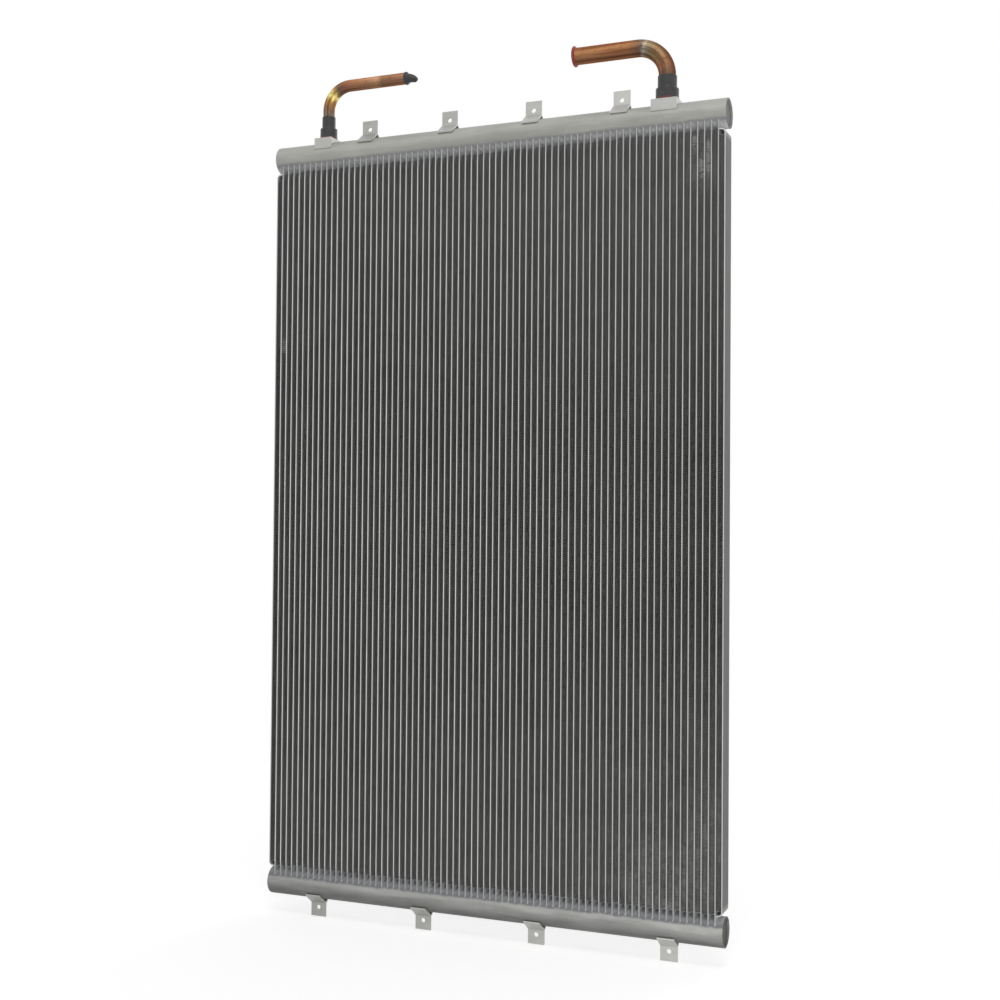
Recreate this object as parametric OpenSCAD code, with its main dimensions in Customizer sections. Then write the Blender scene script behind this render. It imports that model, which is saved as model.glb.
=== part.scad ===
// Microchannel condenser coil: flat multiport tubes and folded fins brazed between two round headers.
// X runs along the headers, +Y points to the back, +Z points up.
// The origin is midway between the outer pair of bottom tab holes.

/* [Flat tubes] */
// Number of flat tubes across the core
tube_count = 72; // [56:1:90]
// Number of those tubes in the subcooling pass, counted from the outlet side
subcooling_tube_count = 22; // [10:1:36]
// Front-to-back depth of a flat tube
tube_depth = 32; // [24:0.5:33]
// Thickness of a flat tube
tube_t = 1.8; // [1.4:0.1:2.4]
// Number of refrigerant ports in a flat tube
port_count = 14; // [6:1:18]
// Wall between a port and the flat face of its tube
port_wall = 0.35; // [0.25:0.05:0.5]
// Wall between two ports
port_web = 0.4; // [0.3:0.05:0.7]

/* [Fins] */
// Height of a fin strip, which is the gap between two tubes
fin_h = 7; // [5:0.1:9]
// Distance that a fin strip's edge lies behind the tube noses
fin_recess = 1.2; // [0.4:0.1:3]
// Mean distance from a header's surface to the end of a fin strip between two tubes
fin_end_gap = 2.5; // [2:0.1:8]
// Distance that the fin strips between the tubes lie above the middle of the core
fin_lift = 1.5; // [-1.5:0.1:1.5]
// Distance from a header's surface to the end of an edge fin strip beside a side plate
edge_fin_end_gap = 8.6; // [7:0.1:20]

/* [Headers] */
// Distance between the axes of the two headers
header_span = 1015; // [600:5:1400]
// Outside diameter of a header
header_od = 38.1; // [38.1:0.1:44]
// Wall thickness of a header
header_wall = 2; // [1.5:0.1:2.5]
// Distance that a header runs past the centre of its last tube
header_overhang = 10.1; // [9.9:0.1:40]
// Distance from a header's axis to the tube ends inside it
tube_stop = 5; // [3:0.5:5.5]
// Braze gap around a tube in its slot
slot_gap = 0.1; // [0.05:0.01:0.2]
// Thickness of an end cap
cap_t = 3; // [2:0.1:4]
// Distance that an end cap lies inside the header's rim
cap_recess = 2.2; // [0.5:0.1:2.5]
// Thickness of the baffle between the two passes
baffle_t = 2; // [1:0.1:3]
// Radial braze gap round the caps, the baffle, the stubs and the pipes
braze_gap = 0.05; // [0.02:0.01:0.1]

/* [Side plates] */
// Thickness of a side plate
plate_t = 1.2; // [0.8:0.1:1.8]
// Inside radius of the rolled end of a side plate
plate_bend_r = 4; // [3:0.1:5]
// Distance from an edge fin strip's end to the start of a side plate's roll
plate_roll_gap = 0.2; // [0:0.1:1]

/* [Tabs] */
// Length of a tab along the header
tab_len = 22.5; // [16:0.5:40]
// Wall thickness of the tab section
tab_t = 2; // [1.5:0.1:3]
// Slope of the tab's legs below the horizontal
tab_leg_slope = 37; // [32:1:42]
// Distance from the header's axis plane to the tip of a leg
tab_leg_reach = 18; // [16:0.5:20]
// Distance from the top of the legs to the centre of the bolt hole
tab_hole_rise = 5.4; // [5:0.1:12]
// Distance from the bolt hole to the free edge of the tab
tab_edge = 12.2; // [8:0.1:16]
// Diameter of the bolt hole
tab_hole_d = 6; // [4:0.1:8]
// Gap between the tab's legs and the header
tab_seat_gap = 0.1; // [0.05:0.05:0.2]
// Distance from a header's end to the outer top tab
top_tab_inset = 140; // [120:0.5:160]
// Distance from a header's end to the outer bottom tab
bottom_tab_inset = 72; // [30:0.5:90]
// Distance between the inner pair of bottom tabs
bottom_tab_inner_pitch = 162.5; // [60:0.5:200]
// Sideways place of the middle of the inner pair of bottom tabs
bottom_tab_inner_shift = -8.5; // [-20:0.5:20]

/* [Inlet] */
// Distance from the header's right end to the inlet
inlet_inset = 80; // [50:0.5:95]
// Outside diameter of the inlet pipe
inlet_od = 22; // [18:0.1:23]
// Radius of the inlet pipe's bend at its centre line
inlet_bend_r = 40; // [28:0.1:44]
// Length of bare upright pipe between the inlet's sleeve and its bend
inlet_bare_leg = 0.5; // [0.2:0.1:40]
// Sideways distance from the inlet's upright leg to the open end of its pipe
inlet_reach = 122; // [80:0.5:180]
// Length of the inlet saddle along the header
inlet_saddle_len = 34; // [32:0.5:40]

/* [Outlet] */
// Distance from the header's left end to the outlet
outlet_inset = 74.3; // [50:0.1:95]
// Outside diameter of the outlet pipe
outlet_od = 16; // [12:0.1:18]
// Radius of the outlet pipe's bend at its centre line
outlet_bend_r = 33; // [24:0.1:38]
// Length of bare upright pipe between the outlet's sleeve and its bend
outlet_bare_leg = 8.3; // [0.2:0.1:40]
// Sideways distance from the outlet's upright leg to the open end of its pipe
outlet_reach = 119.5; // [80:0.5:180]
// Length of the outlet saddle along the header
outlet_saddle_len = 26; // [25:0.5:34]

/* [Connections] */
// Wall thickness of the copper pipes
pipe_wall = 1.2; // [0.8:0.1:1.6]
// Height of a saddle's top above the header's surface
saddle_rise = 4.5; // [4:0.1:10]
// Angle above the horizontal, seen from the header's axis, of a saddle's foot
saddle_foot_angle = 25; // [18:1:32]
// Width of the ledge under a saddle's foot
saddle_ledge = 0.9; // [0.4:0.1:1.5]
// Size of the sloping toe along a saddle's foot
saddle_toe = 1.2; // [0.6:0.1:1.8]
// Wall thickness of the stub's spigot inside the saddle
spigot_wall = 1.8; // [1:0.1:2.2]
// Wall thickness of the stub's socket round the copper pipe
socket_wall = 2.4; // [1.5:0.1:3]
// Length of the stub's socket above the saddle
socket_len = 15; // [10:0.5:20]
// Thickness of the stub's floor under the copper pipe
socket_floor = 2; // [1:0.1:4]
// Wall thickness of the heat-shrunk sleeves
sleeve_wall = 1.3; // [0.8:0.1:1.8]
// Length of a sleeve above its shoulder
sleeve_top_len = 15.5; // [10:0.5:20]
// Height of a sleeve's sloping shoulder
sleeve_shoulder = 2; // [1:0.1:4]

/* [Pipe closures] */
// Distance that the red cap's flange stands out past the pipe
cap_lip = 2.4; // [1:0.1:4]
// Thickness of the red cap's flange
cap_flange_t = 3.8; // [1.5:0.1:5]
// Depth of the sloping back of the red cap's flange
cap_flange_slope = 1.2; // [0.2:0.1:1.4]
// Length of the red cap's skirt inside the pipe
cap_skirt_len = 12; // [6:0.5:20]
// Wall thickness of the red cap
cap_wall = 1.4; // [1:0.1:2]
// Distance that the black plug's flange stands out past the pipe
plug_lip = 0.7; // [0.3:0.1:2]
// Thickness of the black plug's flange
plug_flange_t = 3.2; // [2:0.1:5]
// Length of the black plug's body inside the pipe
plug_body_len = 12; // [6:0.5:20]
// Diameter of the black plug's neck
plug_neck_d = 12.6; // [10:0.1:14]
// Length of the black plug's tail past the pipe
plug_tail_len = 18; // [15:0.5:24]
// Diameter of the tip of the black plug's tail
plug_tip_d = 8.4; // [6:0.1:9.5]
// Radial gap between a closure and the pipe's bore
closure_gap = 0.1; // [0.05:0.05:0.2]

/* [Hidden] */
$fn = 96;
// Distance that a cutter passes beyond the faces it opens
cut = 1;
tube_pitch = tube_t + fin_h;
tube_row = (tube_count - 1) * tube_pitch;
tube_len = header_span - 2 * tube_stop;
port_h = tube_t - 2 * port_wall;
port_row = tube_depth - tube_t;
port_w = (port_row - (port_count - 1) * port_web) / port_count;
header_len = tube_row + 2 * header_overhang;
header_r = header_od / 2;
bore_r = header_r - header_wall;
baffle_x = tube_x(subcooling_tube_count) - tube_pitch / 2;
fin_len = header_span - 2 * (header_r + fin_end_gap);
edge_fin_len = header_span - 2 * (header_r + edge_fin_end_gap);
fin_depth = tube_depth - 2 * fin_recess;
leg_inner_z = (header_r + tab_seat_gap) / cos(tab_leg_slope);
leg_outer_z = (header_r + tab_seat_gap + tab_t) / cos(tab_leg_slope);
leg_tip_z = leg_outer_z - tab_leg_reach * tan(tab_leg_slope);
tab_hole_z = leg_outer_z + tab_hole_rise;
tab_top = tab_hole_z + tab_edge;
bottom_z = tab_hole_z;
top_z = bottom_z + header_span;
core_z = (bottom_z + top_z) / 2;
saddle_top = header_r + saddle_rise;
socket_top = saddle_top + socket_len;
pipe_foot = saddle_top + socket_floor;
shoulder_top = socket_top + sleeve_shoulder;
sleeve_top = shoulder_top + sleeve_top_len;
inlet_run_z = sleeve_top + inlet_bare_leg + inlet_bend_r;
outlet_run_z = sleeve_top + outlet_bare_leg + outlet_bend_r;
inlet_x = header_len / 2 - inlet_inset;
outlet_x = outlet_inset - header_len / 2;
top_tab_spread = header_len - 2 * top_tab_inset;
top_tab_x = [for (i = [0 : 3]) top_tab_spread * (i / 3 - 1 / 2)];
bottom_tab_spread = header_len - 2 * bottom_tab_inset;
bottom_tab_x = [
    -bottom_tab_spread / 2,
    bottom_tab_inner_shift - bottom_tab_inner_pitch / 2,
    bottom_tab_inner_shift + bottom_tab_inner_pitch / 2,
    bottom_tab_spread / 2
];

// Sideways place of a flat tube, counted from the left
function tube_x(i) = -tube_row / 2 + i * tube_pitch;

// Sideways place of a fin strip, where strip i lies to the left of tube i
function fin_x(i) = tube_x(i) - tube_pitch / 2;

// Points of a half outline followed by their mirror image in reverse order
function mirrored(half) = concat(
    half,
    [for (i = [len(half) - 1 : -1 : 0]) [-half[i][0], half[i][1]]]
);

// Radius of a stub's spigot for a pipe of the given outside diameter
function spigot_r(od) = od / 2 - pipe_wall + spigot_wall;

// Outside radius of a stub's socket for a pipe of the given outside diameter
function socket_r(od) = od / 2 + braze_gap + socket_wall;

// Outline of a flat tube grown by a margin, with round noses front and back
module tube_outline(margin) {
    flat = tube_depth - tube_t;
    square([tube_t + 2 * margin, flat], center = true);
    for (side = [-1, 1])
        translate([0, side * flat / 2])
            circle(r = tube_t / 2 + margin);
}

// Section of a flat tube with its row of ports
module tube_section() {
    difference() {
        tube_outline(0);
        for (i = [0 : port_count - 1])
            translate([0, -port_row / 2 + port_w / 2 + i * (port_w + port_web)])
                square([port_h, port_w], center = true);
    }
}

// Flat tubes from one index to another
module tube_bank(first, last) {
    translate([0, 0, core_z - tube_len / 2])
        linear_extrude(tube_len)
            for (i = [first : last])
                translate([tube_x(i), 0])
                    tube_section();
}

// Fin strips from one index to another, each filling the folded strip's envelope
module fin_bank(first, last, length, lift) {
    translate([0, 0, core_z + lift - length / 2])
        linear_extrude(length)
            for (i = [first : last])
                translate([fin_x(i), 0])
                    square([fin_h, fin_depth], center = true);
}

// Round bar along X, centred on the origin
module bar_x(radius, length) {
    rotate([0, 90, 0])
        cylinder(r = radius, h = length, center = true);
}

// Header tube on the X axis, with its tube slots in the underside
module header_tube() {
    difference() {
        bar_x(header_r, header_len);
        bar_x(bore_r, header_len + 2 * cut);
        translate([0, 0, -header_r - cut])
            linear_extrude(header_r + cut - tube_stop + slot_gap)
                for (i = [0 : tube_count - 1])
                    translate([tube_x(i), 0])
                        tube_outline(slot_gap);
    }
}

// Disc across a header's bore
module header_disc(x, thickness) {
    translate([x, 0, 0])
        bar_x(bore_r - braze_gap, thickness);
}

// End cap of a header on the given side
module header_cap(side) {
    header_disc(side * (header_len / 2 - cap_recess - cap_t / 2), cap_t);
}

// Quarter ring in the first quadrant
module quarter_ring(inner_r, outer_r) {
    intersection() {
        difference() {
            circle(r = outer_r);
            circle(r = inner_r);
        }
        square(outer_r);
    }
}

// Outline of the right side plate: a straight wall whose ends roll in to the last tube
module side_plate_outline() {
    tube_face = tube_row / 2 + tube_t / 2;
    inside = tube_face + fin_h;
    roll_x = inside - plate_bend_r;
    straight = edge_fin_len + 2 * plate_roll_gap;
    translate([inside, -straight / 2])
        square([plate_t, straight]);
    for (end = [0, 1])
        mirror([0, end])
            translate([roll_x, straight / 2]) {
                quarter_ring(plate_bend_r, plate_bend_r + plate_t);
                translate([tube_face - roll_x, plate_bend_r])
                    square([roll_x - tube_face, plate_t]);
            }
}

// Right side plate at the height of the core
module side_plate() {
    translate([0, 0, core_z])
        rotate([90, 0, 0])
            linear_extrude(tube_depth, center = true)
                side_plate_outline();
}

// Half of a tab's Y section: the web's edge, the leg's outside, its tip, and the fork between the legs
function tab_half() = [
    [tab_t / 2, tab_top],
    [tab_t / 2, leg_outer_z - tab_t / 2 * tan(tab_leg_slope)],
    [tab_leg_reach, leg_tip_z],
    [tab_leg_reach - tab_t * sin(tab_leg_slope), leg_tip_z - tab_t * cos(tab_leg_slope)],
    [0, leg_inner_z]
];

// Tab astride a header that lies on the X axis
module tab(x) {
    difference() {
        translate([x - tab_len / 2, 0, 0])
            rotate([90, 0, 90])
                linear_extrude(tab_len)
                    polygon(mirrored(tab_half()));
        translate([x, 0, tab_hole_z])
            rotate([90, 0, 0])
                cylinder(d = tab_hole_d, h = tab_t + 2 * cut, center = true);
    }
}

// Half of a saddle's outline, from its top to the toe along its foot
function saddle_half() = let (
    foot_z = header_r * sin(saddle_foot_angle),
    toe_y = header_r * cos(saddle_foot_angle) + saddle_ledge,
    toe_z = foot_z + saddle_toe
) [
    [toe_y - saddle_toe, saddle_top],
    [toe_y - saddle_toe, toe_z + saddle_toe],
    [toe_y, toe_z],
    [toe_y, foot_z]
];

// Saddle block whose hollow underside fits the header, with a bore for the stub
module saddle(length, od) {
    difference() {
        rotate([90, 0, 90])
            linear_extrude(length, center = true)
                polygon(mirrored(saddle_half()));
        bar_x(header_r + braze_gap, length + 2 * cut);
        cylinder(r = spigot_r(od) + braze_gap, h = saddle_top + cut);
    }
}

// Aluminium stub: a spigot through the saddle and a socket for the copper pipe
module stub(od) {
    bore = od / 2 - pipe_wall;
    socket_bore = od / 2 + braze_gap;
    foot = sqrt(pow(bore_r, 2) - pow(spigot_r(od), 2));
    rotate_extrude()
        polygon([
            [bore, foot],
            [spigot_r(od), foot],
            [spigot_r(od), saddle_top],
            [socket_r(od), saddle_top],
            [socket_r(od), socket_top],
            [socket_bore, socket_top],
            [socket_bore, pipe_foot],
            [bore, pipe_foot]
        ]);
}

// Heat-shrunk sleeve that steps in from the socket to the pipe
module sleeve(od) {
    wide = socket_r(od) + braze_gap;
    narrow = od / 2 + braze_gap;
    rotate_extrude()
        polygon([
            [wide, saddle_top],
            [wide + sleeve_wall, saddle_top],
            [wide + sleeve_wall, socket_top],
            [narrow + sleeve_wall, shoulder_top],
            [narrow + sleeve_wall, sleeve_top],
            [narrow, sleeve_top],
            [narrow, shoulder_top],
            [wide, socket_top]
        ]);
}

// Solid elbow: upright leg, quarter bend and level run towards +X, lengthened at both ends
module elbow(radius, bend_r, run_z, reach, extra) {
    translate([0, 0, pipe_foot - extra])
        cylinder(r = radius, h = run_z - bend_r - pipe_foot + extra);
    translate([bend_r, 0, run_z - bend_r])
        rotate([-90, 180, 0])
            rotate_extrude(angle = 90)
                translate([bend_r, 0])
                    circle(r = radius);
    translate([bend_r, 0, run_z])
        rotate([0, 90, 0])
            cylinder(r = radius, h = reach - bend_r + extra);
}

// Copper pipe with an open bore
module pipe(od, bend_r, run_z, reach) {
    difference() {
        elbow(od / 2, bend_r, run_z, reach, 0);
        elbow(od / 2 - pipe_wall, bend_r, run_z, reach, cut);
    }
}

// Places a closure's half profile, turned about the run's axis, in the open end of a pipe
module in_pipe_end(run_z, reach) {
    translate([reach, 0, run_z])
        rotate([0, 90, 0])
            rotate_extrude()
                children();
}

// Places children at the inlet, mirrored so that the run goes left
module at_inlet() {
    translate([inlet_x, 0, top_z])
        mirror([1, 0, 0])
            children();
}

// Places children at the outlet, with the run going right
module at_outlet() {
    translate([outlet_x, 0, top_z])
        children();
}

// Places children at the top header's middle
module at_top() {
    translate([0, 0, top_z])
        children();
}

// Places children at the bottom header's middle, turned over so that the core is above
module at_bottom() {
    translate([0, 0, bottom_z])
        mirror([0, 0, 1])
            children();
}

module top_header() {
    color("silver")
        at_top()
            difference() {
                header_tube();
                translate([inlet_x, 0, 0])
                    cylinder(r = spigot_r(inlet_od) + braze_gap, h = header_od);
                translate([outlet_x, 0, 0])
                    cylinder(r = spigot_r(outlet_od) + braze_gap, h = header_od);
            }
}

module bottom_header() {
    color("silver")
        at_bottom()
            header_tube();
}

module top_cap(side) {
    color("darkgray")
        at_top()
            header_cap(side);
}

module bottom_cap(side) {
    color("darkgray")
        at_bottom()
            header_cap(side);
}

module pass_baffle() {
    color("darkgray")
        at_top()
            header_disc(baffle_x, baffle_t);
}

module condensing_tubes() {
    color("lightgray")
        tube_bank(subcooling_tube_count, tube_count - 1);
}

module subcooling_tubes() {
    color("lightgray")
        tube_bank(0, subcooling_tube_count - 1);
}

module condensing_fins() {
    color("dimgray")
        fin_bank(subcooling_tube_count, tube_count - 1, fin_len, fin_lift);
}

module subcooling_fins() {
    color("dimgray")
        fin_bank(1, subcooling_tube_count - 1, fin_len, fin_lift);
}

module left_edge_fin() {
    color("dimgray")
        fin_bank(0, 0, edge_fin_len, 0);
}

module right_edge_fin() {
    color("dimgray")
        fin_bank(tube_count, tube_count, edge_fin_len, 0);
}

module left_side_plate() {
    color("darkgray")
        mirror([1, 0, 0])
            side_plate();
}

module right_side_plate() {
    color("darkgray")
        side_plate();
}

module top_tab(i) {
    color("gainsboro")
        at_top()
            tab(top_tab_x[i]);
}

module bottom_tab(i) {
    color("gainsboro")
        at_bottom()
            tab(bottom_tab_x[i]);
}

module inlet_saddle() {
    color("gainsboro")
        at_inlet()
            saddle(inlet_saddle_len, inlet_od);
}

module inlet_stub() {
    color("silver")
        at_inlet()
            stub(inlet_od);
}

module inlet_sleeve() {
    color("black")
        at_inlet()
            sleeve(inlet_od);
}

module inlet_pipe() {
    color("peru")
        at_inlet()
            pipe(inlet_od, inlet_bend_r, inlet_run_z, inlet_reach);
}

module inlet_cap() {
    flange_r = inlet_od / 2 + cap_lip;
    skirt_r = inlet_od / 2 - pipe_wall - closure_gap;
    color("firebrick")
        at_inlet()
            in_pipe_end(inlet_run_z, inlet_reach)
                polygon([
                    [0, 0],
                    [skirt_r - cap_wall, 0],
                    [skirt_r - cap_wall, -cap_skirt_len],
                    [skirt_r, -cap_skirt_len],
                    [skirt_r, 0],
                    [inlet_od / 2, 0],
                    [flange_r, cap_flange_slope],
                    [flange_r, cap_flange_t],
                    [0, cap_flange_t]
                ]);
}

module outlet_saddle() {
    color("gainsboro")
        at_outlet()
            saddle(outlet_saddle_len, outlet_od);
}

module outlet_stub() {
    color("silver")
        at_outlet()
            stub(outlet_od);
}

module outlet_sleeve() {
    color("black")
        at_outlet()
            sleeve(outlet_od);
}

module outlet_pipe() {
    color("peru")
        at_outlet()
            pipe(outlet_od, outlet_bend_r, outlet_run_z, outlet_reach);
}

module outlet_plug() {
    flange_r = outlet_od / 2 + plug_lip;
    body_r = outlet_od / 2 - pipe_wall - closure_gap;
    neck_r = plug_neck_d / 2;
    tip_r = plug_tip_d / 2;
    tip_start = plug_tail_len - tip_r;
    color("dimgray")
        at_outlet()
            in_pipe_end(outlet_run_z, outlet_reach) {
                polygon([
                    [0, -plug_body_len],
                    [body_r, -plug_body_len],
                    [body_r, 0],
                    [flange_r, 0],
                    [flange_r, plug_flange_t],
                    [neck_r, plug_flange_t + neck_r],
                    [tip_r, tip_start],
                    [0, tip_start]
                ]);
                translate([0, tip_start])
                    intersection() {
                        circle(r = tip_r);
                        square(tip_r);
                    }
            }
}

top_header();
bottom_header();
top_cap(-1);  // top_left_cap
top_cap(1);  // top_right_cap
bottom_cap(-1);  // bottom_left_cap
bottom_cap(1);  // bottom_right_cap
pass_baffle();
condensing_tubes();
subcooling_tubes();
condensing_fins();
subcooling_fins();
left_edge_fin();
right_edge_fin();
left_side_plate();
right_side_plate();
top_tab(0);  // top_tab_1
top_tab(1);  // top_tab_2
top_tab(2);  // top_tab_3
top_tab(3);  // top_tab_4
bottom_tab(0);  // bottom_tab_1
bottom_tab(1);  // bottom_tab_2
bottom_tab(2);  // bottom_tab_3
bottom_tab(3);  // bottom_tab_4
inlet_saddle();
inlet_stub();
inlet_sleeve();
inlet_pipe();
inlet_cap();
outlet_saddle();
outlet_stub();
outlet_sleeve();
outlet_pipe();
outlet_plug();
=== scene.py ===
"""Dresses a microchannel condenser coil and sets it in a plain studio.

The coil stands upright: flat tubes run along Z between two round headers along X,
and air passes through the folded fins along Y. All lengths are in metres.
"""

import logging
import math
from dataclasses import dataclass, replace
from enum import Enum
from functools import partial
from typing import Any, Callable, Optional, Sequence, Union

import bmesh
import bpy
from bpy.types import Material, Node, NodeSocket, Object
from mathutils import Matrix, Vector, noise


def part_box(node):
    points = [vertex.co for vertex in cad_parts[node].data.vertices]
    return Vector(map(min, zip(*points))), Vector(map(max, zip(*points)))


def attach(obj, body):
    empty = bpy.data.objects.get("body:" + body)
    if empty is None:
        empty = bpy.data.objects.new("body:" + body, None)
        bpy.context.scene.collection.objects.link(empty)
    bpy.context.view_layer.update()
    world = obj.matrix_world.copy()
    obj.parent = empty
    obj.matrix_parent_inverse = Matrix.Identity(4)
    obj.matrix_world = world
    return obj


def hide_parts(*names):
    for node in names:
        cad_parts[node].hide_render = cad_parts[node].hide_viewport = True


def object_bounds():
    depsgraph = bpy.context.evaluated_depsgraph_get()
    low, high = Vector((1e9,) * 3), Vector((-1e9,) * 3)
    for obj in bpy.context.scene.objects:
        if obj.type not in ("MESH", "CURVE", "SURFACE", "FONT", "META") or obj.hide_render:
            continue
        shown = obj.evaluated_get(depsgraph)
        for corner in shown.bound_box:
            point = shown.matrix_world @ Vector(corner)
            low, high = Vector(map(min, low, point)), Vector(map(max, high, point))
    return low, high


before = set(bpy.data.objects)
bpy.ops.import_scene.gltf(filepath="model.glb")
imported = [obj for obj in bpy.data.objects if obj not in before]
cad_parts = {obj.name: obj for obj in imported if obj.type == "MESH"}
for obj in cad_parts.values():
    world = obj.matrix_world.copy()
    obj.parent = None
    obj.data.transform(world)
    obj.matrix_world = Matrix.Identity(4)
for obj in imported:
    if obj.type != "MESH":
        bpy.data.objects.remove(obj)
cad_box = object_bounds()

log = logging.getLogger("coil")

MM = 1e-3
BODY = "root"

TUBE_PITCH = 8.8 * MM
STRIP_WIDTH = 7.0 * MM
TUBE_THICKNESS = TUBE_PITCH - STRIP_WIDTH
HALF_LENGTH = cad_box[1].x

Colour = tuple[float, float, float]
Point = tuple[float, float]
Stop = tuple[float, Colour]
Operand = Union["Num", float]
Shape = Callable[[float, float, float], Vector]
Settings = Optional[dict[str, Any]]
Inputs = Optional[dict[Union[str, int], Any]]
Finish = Union["MillAluminium", "NosedTube", "TintedCopperWithPaintedSheen"]


class Axis(Enum):
    """Direction that a grain or a turned piece follows."""

    X = 0
    Y = 1
    Z = 2


@dataclass(frozen=True)
class Pattern:
    """A noise: features in a metre, octaves and the weight of the finer octaves."""

    scale: float
    detail: float = 4.0
    rough: float = 0.6


GRAIN = Pattern(1.0)
SMEARS = Pattern(1.0, rough=0.55)
BLOTCHES = Pattern(32.0, 5.0, 0.62)
RESIDUE = Pattern(75.0, 6.0, 0.68)
HAZE_EDGE = Pattern(150.0, 3.0, 0.65)
TUBE_BLOTCHES = Pattern(40.0, rough=0.62)
FIN_CLOUDS = Pattern(26.0)
FIN_EDGES = Pattern(1.0, rough=0.7)
FIN_PATCHES = Pattern(105.0, rough=0.65)
COPPER_BANDS = Pattern(1.0, 3.0, 0.5)
COPPER_CLOUDS = Pattern(110.0)
COPPER_SPECKS = Pattern(420.0, rough=0.65)
COPPER_BURNS = Pattern(150.0, 3.0, 0.55)
POLYMER_CLOUDS = Pattern(60.0)

# Features in a metre across and along the grain of drawn metal and of its smears
GRAIN_ACROSS, GRAIN_ALONG = 420.0, 9.0
SMEAR_ACROSS, SMEAR_ALONG = 70.0, 12.0
# The same for the drawing marks of the copper pipes and for the broad bands in their colours
DRAWN_ACROSS, DRAWN_ALONG = 460.0, 7.0
BAND_ACROSS, BAND_ALONG = 220.0, 9.0


def arithmetic(operation: str, reflected: bool = False) -> Callable[["Num", Operand], "Num"]:
    """Makes a method that joins two numbers with a Math node.

    Args:
        operation: Operation of the Math node.
        reflected: Whether the other number comes first.

    Returns:
        The method.
    """

    def method(self: "Num", other: Operand) -> "Num":
        """Adds the Math node."""
        return self.graph.math(operation, *((other, self) if reflected else (self, other)))

    return method


class Num:
    """A number in a node tree, on which plain arithmetic adds Math nodes."""

    __add__ = arithmetic("ADD")
    __radd__ = arithmetic("ADD", True)
    __sub__ = arithmetic("SUBTRACT")
    __rsub__ = arithmetic("SUBTRACT", True)
    __mul__ = arithmetic("MULTIPLY")
    __rmul__ = arithmetic("MULTIPLY", True)
    __mod__ = arithmetic("MODULO")
    __rmod__ = arithmetic("MODULO", True)
    __pow__ = arithmetic("POWER")
    __rpow__ = arithmetic("POWER", True)
    at_least = arithmetic("MAXIMUM")
    at_most = arithmetic("MINIMUM")

    def __init__(self, graph: "Graph", socket: NodeSocket) -> None:
        """Wraps an output socket of a tree."""
        self.graph = graph
        self.socket = socket

    def __neg__(self) -> "Num":
        """Opposite."""
        return self * -1.0

    def root(self) -> "Num":
        """Square root."""
        return self.graph.math("SQRT", self)

    def size(self) -> "Num":
        """Absolute value."""
        return self.graph.math("ABSOLUTE", self)

    def sway(self, span: float) -> "Num":
        """A noise about zero, from minus half the span to plus half the span."""
        return (self - 0.5) * span

    def fade(self, start: float, end: float) -> "Num":
        """Smooth step.

        Args:
            start: Value at which the result is 0.
            end: Value at which the result is 1.

        Returns:
            A number from 0 to 1.
        """
        span = {"Value": self, "From Min": min(start, end), "From Max": max(start, end)}
        smooth = {"interpolation_type": "SMOOTHSTEP"}
        rise = Num(self.graph, self.graph.out("ShaderNodeMapRange", smooth, span))
        return 1.0 - rise if start > end else rise


class Graph:
    """A node tree that is being built."""

    def __init__(self, tree: bpy.types.NodeTree) -> None:
        """Empties the tree."""
        self.tree = tree
        self.tree.nodes.clear()

    def node(self, kind: str, settings: Settings = None, inputs: Inputs = None) -> Node:
        """Adds a node.

        Args:
            kind: Node type.
            settings: Properties, set before the sockets; "stops" fills a colour ramp.
            inputs: Numbers, colours, sockets or Nums for the input sockets.

        Returns:
            The new node.
        """
        made = self.tree.nodes.new(kind)
        for key, value in (settings or {}).items():
            if key == "stops":
                self._fill_ramp(made.color_ramp, value)
            else:
                setattr(made, key, value)
        for key, value in (inputs or {}).items():
            self._feed(made.inputs[key], value)
        return made

    def out(self, kind: str, settings: Settings = None, inputs: Inputs = None) -> NodeSocket:
        """Adds a node and gives its first output."""
        return self.node(kind, settings, inputs).outputs[0]

    def _feed(self, socket: NodeSocket, value: Any) -> None:
        """Links or sets one input socket.

        Args:
            socket: Input socket.
            value: Num, output socket or plain value.
        """
        source = value.socket if isinstance(value, Num) else value
        if isinstance(source, NodeSocket):
            self.tree.links.new(source, socket)
        else:
            socket.default_value = source

    @staticmethod
    def _fill_ramp(ramp: bpy.types.ColorRamp, stops: Sequence[Stop]) -> None:
        """Puts the stops into a colour ramp.

        Args:
            ramp: Ramp of a new node.
            stops: Places from 0 to 1 with their colours.
        """
        while len(ramp.elements) < len(stops):
            ramp.elements.new(1.0)
        for element, (place, colour) in zip(ramp.elements, stops):
            element.position = place
            element.color = (*colour, 1.0)

    def math(self, operation: str, *operands: Operand) -> Num:
        """Adds a Math node on one or two numbers."""
        inputs = dict(enumerate(operands))
        return Num(self, self.out("ShaderNodeMath", {"operation": operation}, inputs))

    def vector(self, x: Operand, y: Operand, z: Operand) -> NodeSocket:
        """Joins three numbers into a vector."""
        return self.out("ShaderNodeCombineXYZ", None, {0: x, 1: y, 2: z})

    def parts(self, vector: NodeSocket) -> tuple[Num, Num, Num]:
        """Splits a vector into its three numbers."""
        made = self.node("ShaderNodeSeparateXYZ", None, {0: vector})
        return tuple(Num(self, made.outputs[i]) for i in range(3))


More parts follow.
